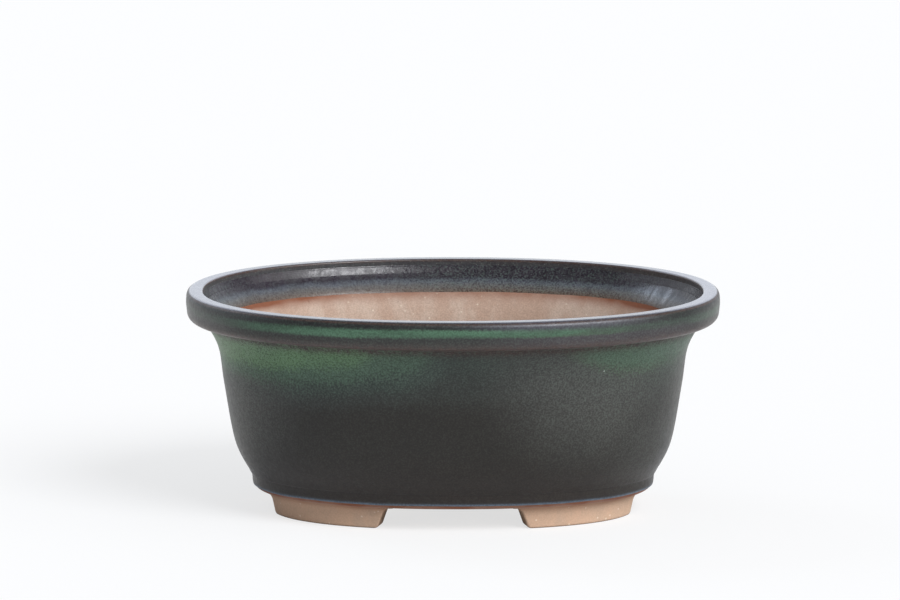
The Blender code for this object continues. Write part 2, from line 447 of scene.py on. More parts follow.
def specks(where, scale, share, size):
    # Small round spots in a share of the cells of a cell pattern
    cells = put(where.id_data, "TexVoronoi", Vector=where, Scale=scale).node.outputs
    drawn = put(where.id_data, "SeparateColor", Color=cells["Color"])
    return times(step(cells["Distance"], size, size * 0.5), calc("LESS_THAN", drawn, share))


def build_satin_glaze():
    tree, into, out = new_group(
        "satin glaze", ["Colour", "Fleck Colour", "Flecks", "Shine", "Grain"],
        ["Colour", "Roughness", "Height"])
    where = object_place(tree)
    fine = cloud(where, FINE_GRAIN)
    middle = cloud(where, PEBBLES, 3.0)
    wide = cloud(where, FIRING_CLOUDS, 3.0)
    fleck = times(step(fine, 0.42, 0.72), into["Flecks"])
    colour = blend(fleck, into["Colour"], into["Fleck Colour"])
    colour = blend(specks(where, 120.0, 0.05, 0.055), colour, SPECK_COLOUR)
    shade = times(spread(fine, -0.32, 0.30), into["Grain"])
    shade = plus(shade, spread(wide, 0.93, 1.06))
    plug(out["Colour"], shaded(colour, shade))
    satin = step(middle, 0.25, 0.75, 0.28, 0.40)
    gloss = times(into["Shine"], SHINE_GAIN)
    plug(out["Roughness"], calc("SUBTRACT", satin, gloss))
    plug(out["Height"], plus(times(fine, 0.5), middle))
    return tree


SATIN_GLAZE = build_satin_glaze()

# %% Stoneware: sandy grain, grog that shows as light specks, and open pores
SAND_GRAIN = 1700.0
MOTTLES = 150.0
PATCHES = 42.0
WIPED_ALONG = 0.45
GROG_SHARE = 0.5
PORE_SHARE = 0.45


def build_stoneware():
    tree, into, out = new_group(
        "stoneware", ["Colour", "Second Colour", "Grog Colour", "Pore Colour", "Grain"],
        ["Colour", "Roughness", "Height"])
    where = object_place(tree)
    wiped = stretched(where, 1.0, WIPED_ALONG)
    grain = cloud(where, SAND_GRAIN)
    mottle = cloud(wiped, MOTTLES, 4.0, 0.6)
    patch = cloud(wiped, PATCHES)
    mixed = plus(times(mottle, 0.5), times(patch, 0.5))
    body = blend(step(mixed, 0.40, 0.60), into["Colour"], into["Second Colour"])
    shade = times(step(grain, 0.28, 0.72, -0.16, 0.12), into["Grain"])
    body = shaded(body, plus(shade, 1.0))
    grog = specks(where, 620.0, 0.10, 0.30)
    pores = specks(stretched(where, 1.1, 1.1), 330.0, 0.035, 0.20)
    body = blend(times(grog, GROG_SHARE), body, into["Grog Colour"])
    body = blend(times(pores, PORE_SHARE), body, into["Pore Colour"])
    plug(out["Colour"], body)
    plug(out["Roughness"], spread(mottle, 0.78, 0.9))
    height = plus(times(grain, 0.5), mottle)
    height = plus(height, times(grog, 0.4))
    plug(out["Height"], calc("SUBTRACT", height, pores))
    return tree


STONEWARE = build_stoneware()

# %% A band between two levels, with soft edges
def build_band_mask():
    tree, into, out = new_group(
        "band between levels", ["Level", "Low", "High", "Softness"], ["Mask"])
    low_end = plus(into["Low"], into["Softness"])
    high_end = calc("SUBTRACT", into["High"], into["Softness"])
    rise = step(into["Level"], into["Low"], low_end)
    fall = step(into["Level"], high_end, into["High"])
    plug(out["Mask"], times(rise, calc("SUBTRACT", 1.0, fall)))
    return tree


BAND_MASK = build_band_mask()
BAND_SOFTNESS = 1.7 * MM


def band_between(level, low, high):
    tree = level.id_data
    return use(tree, BAND_MASK, Level=level, Low=low, High=high, Softness=BAND_SOFTNESS)["Mask"]

# %% Brown where the glaze is thin, and clay flashed by the fire
BREAK_RAGS = 700.0
FIRE_CLOUDS = 90.0


def build_thin_glaze():
    tree, into, out = new_group("thin glaze", ["Colour", "Break Colour"], ["Colour"])
    ragged = step(cloud(object_place(tree), BREAK_RAGS, 3.0), 0.25, 0.75, 0.55, 1.25)
    amount = times(mark(tree, "thin"), ragged)
    plug(out["Colour"], blend(amount, into["Colour"], into["Break Colour"]))
    return tree


def build_flashing():
    tree, into, out = new_group("flashing", ["Colour", "Flash Colour", "Amount"], ["Colour"])
    uneven = spread(cloud(object_place(tree), FIRE_CLOUDS), 0.8, 1.12)
    amount = times(times(mark(tree, "flash"), uneven), into["Amount"])
    plug(out["Colour"], blend(amount, into["Colour"], into["Flash Colour"]))
    return tree


THIN_GLAZE = build_thin_glaze()
FLASHING = build_flashing()
print("node groups", [g.name for g in bpy.data.node_groups])

# %% [markdown]
# ## What all finishes share
# Glaze and clay meet on one skin, so one finish holds both, and a mark on the mesh says which of
# the two a point shows. Two objects with a seam between them would be simpler, but their colours
# would meet in a hard line, and a real glaze line has a bead, a step and a flash of orange.

# %% Colours of the clay and of the glaze's edges
CLAY_TAN = (0.455, 0.318, 0.240)
CLAY_PALE = (0.530, 0.410, 0.330)
GROG_PALE = (0.80, 0.72, 0.58)
PORE_BROWN = (0.12, 0.085, 0.065)
FLASH_ORANGE = (0.215, 0.076, 0.036)
BEAD_BLUE = (0.120, 0.165, 0.220)
FADE_BROWN = (0.115, 0.075, 0.055)
BREAK_BROWN = (0.065, 0.030, 0.022)
FLECK_GREEN = (0.050, 0.080, 0.062)

# %% Glaze over clay, in the shader that every finish ends in
CLAY_GRAIN = 0.8
CLAY_RELIEF = 1.6
BEAD_SHARE = 0.9
MATTE = -1.0


def start_material(name):
    material = bpy.data.materials.new(name)
    material.use_nodes = True
    tree = material.node_tree
    return material, tree, tree.nodes["Principled BSDF"], object_place(tree)


def end_material(shader, colour, roughness, height, bump):
    relief = put(shader.id_data, "Bump", Height=height, Distance=bump, Strength=1.0)
    plug_all(shader, Base_Color=colour, Roughness=roughness, Normal=relief)


def fired_clay(tree, first, second, grain, flashed_by=1.0):
    clay = use(tree, STONEWARE, Colour=first, Second_Colour=second, Grog_Colour=GROG_PALE,
               Pore_Colour=PORE_BROWN, Grain=grain)
    flashed = use(tree, FLASHING, Colour=clay["Colour"], Flash_Colour=FLASH_ORANGE,
                  Amount=flashed_by)
    return flashed["Colour"], clay["Roughness"], clay["Height"]


def glaze_and_clay(shader, glaze_colour, flecks, shine, grain,
                   bump=0.06 * MM, flashed_by=1.0, thin_colour=BREAK_BROWN):
    tree = shader.id_data
    edge_colour = blend(mark(tree, "inside"), BEAD_BLUE, FADE_BROWN)
    bead = times(mark(tree, "bead"), BEAD_SHARE)
    beaded = blend(bead, glaze_colour, edge_colour)
    broken = use(tree, THIN_GLAZE, Colour=beaded, Break_Colour=thin_colour)
    glaze = use(tree, SATIN_GLAZE, Colour=broken["Colour"], Fleck_Colour=FLECK_GREEN,
                Flecks=flecks, Shine=shine, Grain=grain)
    clay_colour, clay_roughness, clay_height = fired_clay(
        tree, CLAY_TAN, CLAY_PALE, CLAY_GRAIN, flashed_by)
    glazed = mark(tree, "glazed")
    colour = blend(glazed, clay_colour, glaze["Colour"])
    roughness = between(glazed, clay_roughness, glaze["Roughness"])
    height = between(glazed, times(clay_height, CLAY_RELIEF), glaze["Height"])
    end_material(shader, colour, roughness, height, bump)

# %% [markdown]
# ## Outside glaze
# The outside glaze is black-brown, and moss green where a second glaze was sprayed on from
# above. Sprayed glaze has no line: it ends in fine dots that get fewer. So the green is
# strongest in the middle of each cloud and fades downwards, and a fine grain shakes the height
# that it fades with. Over it lie a grey haze and a little sheen. The haze is mostly a painted
# highlight of the key light at the front right and a painted reflection at the left edge, and
# partly the glaze's own haze. The sheen is there because a satin glaze glows at a grazing look.

# %% Where glaze was sprayed on, as middles, reaches and strengths of the clouds
SPRAYED = [
    ((-100, -36, 76), 86, 1.26),
    ((-54, -66, 76), 44, 0.95),
    ((-33, -72, 74), 36, 0.75),
    ((84, -42, 78), 66, 0.72),
    ((34, 66, 74), 80, 0.85),
]
LEAST_SPRAY = 0.29
# Grey haze clouds: mostly a painted highlight of the key light and a painted reflection at the left
# edge, partly the glaze's own haze
HAZE_AND_PAINTED_HIGHLIGHT_CLOUDS = [
    ((60, -58, 72), 60, 1.0),
    ((84, -34, 46), 48, 0.55),
    ((-98, -30, 58), 52, 0.8),
]
CLOUD_CORE = 0.3


def clouds(where, middles, least=0.0):
    # Middles and reaches are in millimetres. A cloud is full in its core and ends at its reach
    total = least
    for middle, reach, strength in middles:
        gap = where.id_data.nodes.new("ShaderNodeVectorMath")
        gap.operation = "DISTANCE"
        plug(gap.inputs[0], where)
        gap.inputs[1].default_value = [v * MM for v in middle]
        amount = step(gap.outputs["Value"], reach * MM, reach * CLOUD_CORE * MM,
                      least, strength)
        total = calc("MAXIMUM", amount, total)
    return total


# Lightens a colour towards a grey or lavender, for painted highlights and painted reflections
def lighten_with_painted_haze(amount, colour, haze_colour):
    return blend(amount, colour, blend(0.8, colour, haze_colour, "LIGHTEN"))

# %% Outside glaze: moss green under the lip, thinning out into black-brown
# Black-brown, dark grey, dark teal, teal green and moss green, by the amount of spray
GREEN_STOPS = [
    (0.00, (0.0108, 0.0080, 0.0050)),
    (0.14, (0.0205, 0.0230, 0.0190)),
    (0.34, (0.031, 0.046, 0.035)),
    (0.62, (0.052, 0.098, 0.060)),
    (0.95, (0.098, 0.200, 0.082)),
]
AUBERGINE = (0.0120, 0.0066, 0.0040)
HAZE_AND_PAINTED_HIGHLIGHT_GREY = (0.055, 0.0535, 0.0480)
SPRAY_PART = (LIP_BOTTOM_Z - 31.0 * MM, LIP_BOTTOM_Z + 0.5 * MM)
LOW_PART = (UNDERSIDE_Z + 30.0 * MM, UNDERSIDE_Z + 4.0 * MM)
SPRAY_CLOUDS = 26.0
SPRAY_DRIFT = 9.0 * MM
SPRAY_DOTS = 1300.0
SPRAY_GRAIN = 11.0 * MM
PAINTED_HAZE_GRAIN = 0.45


def outside_glaze(where, height):
    # Gives the colour, and how much green or painted haze there is, because they have the stronger
    # grain
    level = swayed(height, cloud(where, SPRAY_CLOUDS, 3.0), SPRAY_DRIFT)
    level = swayed(level, cloud(where, SPRAY_DOTS), SPRAY_GRAIN)
    spray = clouds(where, SPRAYED, LEAST_SPRAY)
    amount = times(step(level, *SPRAY_PART), spray)
    colour = blend(step(level, *LOW_PART), ramp(amount, GREEN_STOPS), AUBERGINE)
    painted_haze_amount = clouds(where, HAZE_AND_PAINTED_HIGHLIGHT_CLOUDS)
    covered = calc("MAXIMUM", amount, times(painted_haze_amount, PAINTED_HAZE_GRAIN))
    return lighten_with_painted_haze(painted_haze_amount, colour, HAZE_AND_PAINTED_HIGHLIGHT_GREY), covered


def fleck_and_grain(amount):
    return plus(times(amount, 0.55), 0.08), plus(amount, 0.85)


def start_glaze(name, specular=0.5):
    material, tree, shader, where = start_material(name)
    plug_all(shader, Specular_IOR_Level=specular, Sheen_Weight=0.14, Sheen_Roughness=0.30)
    return material, tree, shader, where, axis(where, "Z")

# %% [markdown]
# ## Wall glaze
# The wall has the outside glaze on one face and the mouth's colours on the other. In the mouth
# the same glaze is purple-grey under the lip, then a thin blue line, then grey-green where it
# thins out. It ran down the slope before it set, so its gloss is streaked there, and mottled in
# the fillet above.

# %% Wall glaze: the outside glaze, and the mouth's colours inside
def below_rim(start, end):
    # Two heights, given as millimetres below the rim
    return RIM_Z - start * MM, RIM_Z - end * MM


MOUTH_PURPLE = (0.031, 0.024, 0.034)
MOUTH_GREEN = (0.112, 0.104, 0.102)
MOUTH_BLUE = (0.100, 0.115, 0.140)
# Under the lip the brown is partly thin glaze and partly a painted shade of the overhanging lip
UNDER_LIP_SHADE_AND_THIN_BROWN = (0.036, 0.014, 0.009)
GREEN_TO_PURPLE = below_rim(9.4, 7.4)
BLUE_LINE = below_rim(10.2, 6.6)
BLUE_SHARE = 0.6
SLOPE_TO_FILLET = below_rim(7.0, 5.0)
MOUTH_CLOUDS = 120.0
MOUTH_DRIFT = 1.6 * MM
FILLET_MOTTLES = 420.0
RUN_STREAKS = (150.0, 5.0, 1.0)
WALL_ENDS = (30.0 * MM, 78.0 * MM)


def runs_down(tree):
    # Streaks of glaze that ran down the slope: fine across it, long along it
    sheet = put(tree, "UVMap", settings={"uv_map": "sheet"})
    return cloud(put(tree, "Mapping", Vector=sheet, Scale=RUN_STREAKS), 1.0, 3.0, 0.6)


def make_wall_finish():
    material, tree, shader, where, height = start_glaze("wall_glaze_and_clay")
    outer, amount = outside_glaze(where, height)
    level = swayed(height, cloud(where, MOUTH_CLOUDS), MOUTH_DRIFT)
    inner = blend(step(level, *GREEN_TO_PURPLE), MOUTH_GREEN, MOUTH_PURPLE)
    line = times(band_between(level, *BLUE_LINE), BLUE_SHARE)
    streaks = runs_down(tree)
    inner = shaded(blend(line, inner, MOUTH_BLUE), spread(streaks, 0.82, 1.16))
    in_fillet = step(height, *SLOPE_TO_FILLET)
    mottled = cloud(where, FILLET_MOTTLES, 3.0, 0.6)
    gloss = step(between(in_fillet, streaks, mottled), 0.35, 0.65, -0.4, 0.9)
    inside = mark(tree, "inside")
    shine = between(inside, MATTE, gloss)
    flecks, grain = fleck_and_grain(amount)
    # The fire flashed the clay most at the two ends of the mouth
    off_middle = calc("ABSOLUTE", axis(where, "X"))
    flashed_by = step(off_middle, *WALL_ENDS, 0.75, 1.5)
    glaze_and_clay(shader, blend(inside, outer, inner), flecks, shine, grain,
                   flashed_by=flashed_by, thin_colour=UNDER_LIP_SHADE_AND_THIN_BROWN)
    return material


wall_finish = make_wall_finish()

# %% [markdown]
# ## Lip glaze
# Glaze runs off the lip's edges and gathers between them. So the lip is near black under its
# upper edge, has a green band where the spray met it, and is dark grey below, with brown edges.
# A grey and lavender haze is painted on it: a painted highlight of the key light at the front
# right, and a painted reflection at the left end. The flat top took the thickest glaze and
# melted to a gloss that mirrors the pale studio. A clear coat on the flat top gives that gloss
# without a material of its own. The top's lavender is partly the glaze's colour and partly a
# painted reflection of the sky, which is lighter at the two ends.

# %% Colours and heights on the lip
NEAR_BLACK = (0.014, 0.015, 0.014)
LIP_GREEN = (0.067, 0.150, 0.087)
LIP_GREY = (0.026, 0.027, 0.024)
# Lavender is partly the glaze's colour and partly a painted sheen; the rim's lavender is a painted
# reflection of the sky
LIP_PAINTED_HIGHLIGHT_GREY = (0.056, 0.049, 0.054)
LAVENDER_AND_PAINTED_SHEEN = (0.105, 0.100, 0.132)
PAINTED_RIM_SKY_REFLECTION = (0.330, 0.320, 0.430)
INNER_LIP_GREY = (0.048, 0.048, 0.054)
PALE_SPECK = (0.16, 0.165, 0.155)
LIP_SPRAYED = [((-14, -79, 83), 92, 1.0), ((30, 76, 83), 80, 0.8)]
LEAST_LIP_SPRAY = 0.28
# The lip's haze and sheen clouds are a painted highlight of the key light and a painted reflection
# at the left end
LIP_PAINTED_HIGHLIGHT_CLOUDS = [((62, -60, 78), 66, 1.0), ((-100, -20, 80), 40, 0.8)]
LIP_PAINTED_SHEEN_CLOUDS = [((42, -70, 87), 48, 1.0)]
GREEN_BAND = below_rim(6.5, 1.8)
BLACK_TO_GREY = below_rim(4.0, 6.5)
PAINTED_HAZE_PART = below_rim(1.5, 7.0)
PAINTED_SHEEN_PART = below_rim(4.5, 1.0)
FLAT_TOP = below_rim(0.5, 0.1)
RIM_ENDS = (62.0 * MM, 100.0 * MM)
LIP_DRIFT = 1.0 * MM
LIP_GRAIN = 1.8 * MM
LIP_DROOP = 0.009

# %% Lip glaze: near black under the edge, a green band, dark grey below
def make_lip_finish():
    material, tree, shader, where, height = start_glaze("lip_glaze", 0.6)
    off_middle = calc("ABSOLUTE", axis(where, "X"))
    streaks = cloud(stretched(where, 1.0, 6.0), 60.0, 3.0)
    level = swayed(height, streaks, LIP_DRIFT)
    level = swayed(level, cloud(where, SPRAY_DOTS), LIP_GRAIN)
    # The green lies a little lower towards the pot's ends
    level = plus(level, times(off_middle, LIP_DROOP))
    strength = clouds(where, LIP_SPRAYED, LEAST_LIP_SPRAY)
    strength = times(strength, spread(streaks, 0.75, 1.25))
    amount = times(band_between(level, *GREEN_BAND), strength)
    dark = blend(step(level, *BLACK_TO_GREY), NEAR_BLACK, LIP_GREY)
    outer = blend(amount, dark, LIP_GREEN)
    # A painted highlight haze, and a painted lavender sheen high on the front right
    painted_haze_amount = times(clouds(where, LIP_PAINTED_HIGHLIGHT_CLOUDS), step(height, *PAINTED_HAZE_PART))
    outer = lighten_with_painted_haze(painted_haze_amount, outer, LIP_PAINTED_HIGHLIGHT_GREY)
    painted_sheen = times(clouds(where, LIP_PAINTED_SHEEN_CLOUDS), step(height, *PAINTED_SHEEN_PART))
    outer = lighten_with_painted_haze(times(painted_sheen, 0.7), outer, LAVENDER_AND_PAINTED_SHEEN)
    inner = blend(specks(where, 1500.0, 0.40, 0.36), INNER_LIP_GREY, PALE_SPECK)
    colour = blend(mark(tree, "inside"), outer, inner)
    # On the flat top the glaze lay thickest, and a painted reflection of the sky makes its ends
    # paler lavender
    flat_top = step(height, *FLAT_TOP, 0.0, 0.9)
    # Lavender glaze in the middle, and a painted reflection of the sky towards the ends
    top_lavender_and_reflection = blend(step(off_middle, *RIM_ENDS), LAVENDER_AND_PAINTED_SHEEN, PAINTED_RIM_SKY_REFLECTION)
    colour = blend(times(flat_top, 0.7), colour, top_lavender_and_reflection)
    shine = between(flat_top, -0.6, 1.0)
    glaze_and_clay(shader, colour, 0.25, shine, 0.9, 0.04 * MM)
    plug_all(shader, Coat_Weight=flat_top, Coat_Roughness=0.12)
    return material


lip_finish = make_lip_finish()

# %% [markdown]
# ## Band glaze
# On the band the outside glaze goes on down to its wiped line, where it gathered in a bead that
# turned steel-blue. The marks on the mesh place the bead, so nothing has to be painted by hand.

# %% Band glaze
def make_band_finish():
    material, _, shader, where, height = start_glaze("band_glaze_and_clay")
    colour, amount = outside_glaze(where, height)
    flecks, grain = fleck_and_grain(amount)
    glaze_and_clay(shader, colour, flecks, MATTE, grain)
    return material


band_finish = make_band_finish()

# %% [markdown]
# ## Bare stoneware
# The floor and the feet are the same clay without glaze. The feet get a lighter copy of the
# clay's colours, a painted light for the brighter light that falls on them, and a smoother
# grain, so the finish is one function that takes its colours and its grain. The clay is darker
# brown along the very bottom of the feet. On the sloped end faces of the feet, a painted shade
# together with some flashing from the fire darkens it.

# %% Bare stoneware for the floor and the feet
# The feet's tans are lighter copies of the clay's, a painted light for the brighter light on the
# feet
FOOT_TAN_PAINTED_LIGHTER = (0.565, 0.380, 0.264)
FOOT_DULL_PAINTED_LIGHTER = (0.514, 0.362, 0.260)
# Darker brown along the feet's very bottom, and a painted shade with some flashing on the sloped
# foot ends
BOTTOM_AND_END_SHADE_BROWN = (0.150, 0.088, 0.048)
BOTTOM_EDGE_PART = (0.55 * MM, 0.25 * MM)


def make_clay_finish(name, first, second, grain, bump):
    material, tree, shader, where = start_material(name)
    plug_all(shader, Specular_IOR_Level=0.3)
    clay_colour, roughness, height = fired_clay(tree, first, second, grain)
    # Darker towards the very bottom, and a painted shade with some flashing on the sloped ends
    bottom_and_end_shade = step(axis(where, "Z"), *BOTTOM_EDGE_PART, 0.0, 0.7)
    bottom_and_end_shade = calc("MAXIMUM", bottom_and_end_shade, times(mark(tree, "cut_end_shade"), 0.5))
    colour = blend(bottom_and_end_shade, clay_colour, BOTTOM_AND_END_SHADE_BROWN)
    end_material(shader, colour, roughness, height, bump)
    return material


floor_finish = make_clay_finish("floor_clay", CLAY_TAN, CLAY_PALE, CLAY_GRAIN, 0.09 * MM)
foot_finish = make_clay_finish("foot_clay", FOOT_TAN_PAINTED_LIGHTER, FOOT_DULL_PAINTED_LIGHTER, 0.45, 0.05 * MM)
print("finishes", [m.name for m in bpy.data.materials])

# %% [markdown]
# ## Rim lip
# The lip is a flat-topped band that wraps the flared end of the wall. A potter rolls a coil,
# presses it on and turns its edges with a wet leather. It is drawn as one closed outline: small
# rounds above, a larger one below. Glaze is thin where the outline turns.

# %% Make the rim lip
LIP_WIDTH = 6.8 * MM
LIP_SWELL = 0.8 * MM
LIP_BULGE_INSET = 0.05 * MM
LIP_BULGE_DROP = 4.5 * MM
LIP_BULGE_ROUND = 12.0 * MM
LIP_TOP_LEAN = 0.4 * MM
LIP_TOP_ROUND = 2.2 * MM
LIP_INNER_ROUND = 0.8 * MM
LIP_BOTTOM_ROUND = 3.6 * MM
INNER_FACE_DEPTH = 1.5 * MM
SKIN_PITCH = 0.6 * MM


def make_rim_lip():
    outline = rounded([
        (LIP_WIDTH, LIP_BOTTOM_Z, 0.0),
        (LIP_WIDTH, RIM_Z, LIP_INNER_ROUND),
        (LIP_TOP_LEAN, RIM_Z, LIP_TOP_ROUND),
        (LIP_BULGE_INSET, RIM_Z - LIP_BULGE_DROP, LIP_BULGE_ROUND),
        (LIP_SWELL, LIP_BOTTOM_Z, LIP_BOTTOM_ROUND),
    ])
    outline = evenly([*outline, outline[0]], SKIN_PITCH)
    thin_edges = [
        (LIP_WIDTH, RIM_Z - 0.4 * MM, 0.45 * MM),
        (LIP_TOP_LEAN + 0.5 * MM, RIM_Z - 0.7 * MM, 0.42 * MM),
        (LIP_SWELL + 1.5 * MM, LIP_BOTTOM_Z + 0.8 * MM, 2.2 * MM),
    ]
    inner_face = LIP_WIDTH - INNER_FACE_DEPTH
    courses = [course._replace(inside=1.0 if course.inset > inner_face else 0.0)
               for course in plain_courses(outline, 1.0)]
    make_piece(bend_round(courses, thin_edges), "rim_lip", lip_finish)


make_rim_lip()

# %% [markdown]
# ## Wall
# The wall is one sheet: down the outside from under the lip, round its foot, and up the inside
# over the floor's cove to the mouth, where a wet finger made a hollow fillet under the lip. Its
# ends are tucked a little into the lip, the band and the floor, because the seams of a fired pot
# are closed. Inside, the glaze stops a finger's width below the rim.

# %% Sizes of the wall, and of the band that it stands in
THROAT = Vector((12.55 * MM, LIP_BOTTOM_Z - 10.4 * MM))
WAIST = Vector((14.9 * MM, LIP_BOTTOM_Z - 25.4 * MM))
BELLY = Vector((19.0 * MM, WALL_BOTTOM_Z + 12.0 * MM))
WALL_FOOT_INSET = 25.3 * MM
WALL_THICKNESS = 5.8 * MM
THROUGH_WALL = Vector((WALL_THICKNESS, 0.0))
FLOOR_COVE = 9.0 * MM
COVE_LAP = 3.0 * MM
BAND_INSET = 25.65 * MM
BAND_DEPTH = 10.0 * MM
TUCK = 0.4 * MM
COVE_LIFT = 0.02 * MM
WALL_PITCH = 0.8 * MM
MOUTH_GLAZE_RUN = 12.8 * MM
END_RUN_DOWN = 2.5 * MM
# Insets past the band's face, and drops below its top, where the wall's foot goes in
WALL_TOE = [(-0.16, 0.6), (0.105, 1.8), (0.19, 2.6)]
# Insets past the lip's inner face, and drops below the rim, of the fillet in the mouth
FILLET = [(0.05, 2.5), (0.30, 3.2), (1.05, 4.8), (1.95, 6.2), (7.1, 12.2)]

# %% Make the wall
def mouth_line_sway(angle):
    # The glaze ran further down at one end of the mouth
    return line_sway(angle) + END_RUN_DOWN * max(0.0, math.cos(angle)) ** 8


def outer_face():
    toe = [Vector((BAND_INSET + x * MM, BAND_TOP_Z - drop * MM)) for x, drop in WALL_TOE]
    return flowing([
        Vector((LIP_WIDTH + 0.1 * MM, LIP_BOTTOM_Z + TUCK)), THROAT, WAIST, BELLY,
        Vector((24.5 * MM, BAND_TOP_Z + 0.9 * MM)), *toe,
    ])


def inner_face_and_cove():
    floor_level = FLOOR_Z + COVE_LIFT
    belly_inside = BELLY + THROUGH_WALL
    cove = rounded([
        (*belly_inside, 0.0),
        (WALL_FOOT_INSET + WALL_THICKNESS, floor_level, FLOOR_COVE),
        (BAND_INSET + BAND_DEPTH + COVE_LAP, floor_level, 0.0),
    ])[1:]
    fillet = [Vector((LIP_WIDTH + x * MM, RIM_Z - drop * MM)) for x, drop in FILLET]
    face = flowing([
        Vector((LIP_WIDTH - TUCK, RIM_Z - 1.8 * MM)), *fillet,
        THROAT + THROUGH_WALL, WAIST + THROUGH_WALL, belly_inside,
    ])
    return evenly([*face, *cove], SKIN_PITCH)


def make_wall():
    inner = inner_face_and_cove()
    hidden = [Vector((BAND_INSET + 1.0 * MM, UNDERSIDE_Z + 3.9 * MM)),
              Vector((inner[-1].x, UNDERSIDE_Z + 2.0 * MM))]
    outside_part = plain_courses(evenly(outer_face(), WALL_PITCH), 1.0)
    inside_part = list(reversed(lay_glaze(inner, MOUTH_GLAZE_RUN, inside=1.0)))
    courses = [*outside_part, *plain_courses(hidden, 0.0), *inside_part, outside_part[0]]
    # Brown under the lip: thin glaze, and a painted shade of the overhanging lip
    under_lip_shade_and_thin = [(LIP_WIDTH + 1.4 * MM, LIP_BOTTOM_Z - 0.9 * MM, 2.4 * MM)]
    make_piece(bend_round(courses, under_lip_shade_and_thin, mouth_line_sway), "wall", wall_finish)


make_wall()

# %% [markdown]
# ## Base band
# Below the wall runs a low, nearly upright band, rounded over at the bottom. The glaze was wiped
# off its lower edge before the firing, so that the pot wouldn't stick to the kiln shelf. That
# wiped line is the most telling detail of the pot's foot.

# %% Make the base band
BAND_LEAN = 0.5 * MM
BAND_ROUND = 4.6 * MM
BAND_PITCH = 0.3 * MM
BAND_GLAZE_RUN = 5.0 * MM


def make_base_band():
    outline = rounded([
        (BAND_INSET, BAND_TOP_Z, 0.0),
        (BAND_INSET + BAND_LEAN, UNDERSIDE_Z, BAND_ROUND),
        (BAND_INSET + BAND_DEPTH, UNDERSIDE_Z, 0.0),
        (BAND_INSET + BAND_DEPTH, BAND_TOP_Z, 0.0),
    ])
    courses = lay_glaze(evenly(outline[:-1], BAND_PITCH), BAND_GLAZE_RUN)
    courses += plain_courses([outline[-1]], 0.0)
    courses.append(courses[0])
    make_piece(bend_round(courses), "base_band", band_finish)


make_base_band()

# %% [markdown]
# ## Floor slab
# The floor is a rolled slab with two drain holes, cut with a ring while the clay is leather
# hard and softened at the edge with a wet finger. A net of three loops is filled to a face with
# holes, the face is pushed down to a slab, and the holes' edges are bevelled.

# %% Make the floor slab
DRAIN_RADIUS = 10.0 * MM
DRAIN_SPACING = 70.0 * MM
DRAIN_SIDES = 64
DRAIN_EDGE = 0.9 * MM
DRAIN_NEAR = DRAIN_RADIUS * 1.01
EDGE_ANGLE = math.radians(60.0)
SLAB_THICKNESS = FLOOR_Z - UNDERSIDE_Z - 0.15 * MM


def is_drain_edge(edge):
    from_middles = [Vector((abs(v.co.x) - DRAIN_SPACING / 2, v.co.y)).length for v in edge.verts]
    return edge.calc_face_angle(0.0) > EDGE_ANGLE and max(from_middles) < DRAIN_NEAR


def make_floor_slab():
    bm = bmesh.new()
    rim = bmesh.ops.create_circle(bm, segments=AROUND, radius=1.0)["verts"]
    slab_inset = BAND_INSET + BAND_DEPTH - TUCK
    for vert, (point, outward) in zip(rim, RIM_PLACES):
        vert.co = (*(point - outward * slab_inset), FLOOR_Z)
    for side in (-1, 1):
        hole = bmesh.ops.create_circle(bm, segments=DRAIN_SIDES, radius=DRAIN_RADIUS)["verts"]
        bmesh.ops.translate(bm, verts=hole, vec=(side * DRAIN_SPACING / 2, 0.0, FLOOR_Z))
    bmesh.ops.triangle_fill(bm, edges=bm.edges, use_beauty=True)
    made = bmesh.ops.extrude_face_region(bm, geom=list(bm.faces))["geom"]
    lower = [g for g in made if isinstance(g, bmesh.types.BMVert)]
    bmesh.ops.translate(bm, verts=lower, vec=(0.0, 0.0, -SLAB_THICKNESS))
    ring = [edge for edge in bm.edges if is_drain_edge(edge)]
    bmesh.ops.bevel(bm, geom=ring, offset=DRAIN_EDGE, offset_type="OFFSET", segments=4,
                    profile=0.5, affect="EDGES", material=-1)
    make_piece(bm, "floor_slab", floor_finish)


make_floor_slab()

# %% [markdown]
# ## Feet
# The four feet are cut from one ring of clay that follows the oval. Seen from the front, each
# foot's end comes down in a cove, slopes in and is rounded where it meets the shelf. A foot is
# again a sheet: one direction runs along the foot, the other round its upright slice. Where the
# end slopes, the slice gets shorter. The feet's tops are tucked into the clay above.

# %% A foot's upright slice
FOOT_INSET = 32.2 * MM
FOOT_TAPER = 1.1 * MM
FOOT_THICKNESS = 10.5 * MM
FOOT_EDGE_ROUND = 0.9 * MM
FOOT_FLARE_OUT = 3.0 * MM
FOOT_FLARE_DOWN = 3.4 * MM
FOOT_SKIN_TOP_Z = UNDERSIDE_Z + 0.35 * MM
FACE_ROWS = 18
EDGE_ROWS = 5
UNDER_ROWS = 8
BACK_ROWS = 4


def foot_face_inset(z):
    # The face leans in towards the shelf and flares out to the band above
    lean = FOOT_TAPER * (UNDERSIDE_Z - z) / UNDERSIDE_Z
    up = max(0.0, min(1.0, 1.0 - (UNDERSIDE_Z - z) / FOOT_FLARE_DOWN))
    flare = FOOT_FLARE_OUT * (1.0 - math.sqrt(1.0 - up ** 2))
    return FOOT_INSET + lean - flare


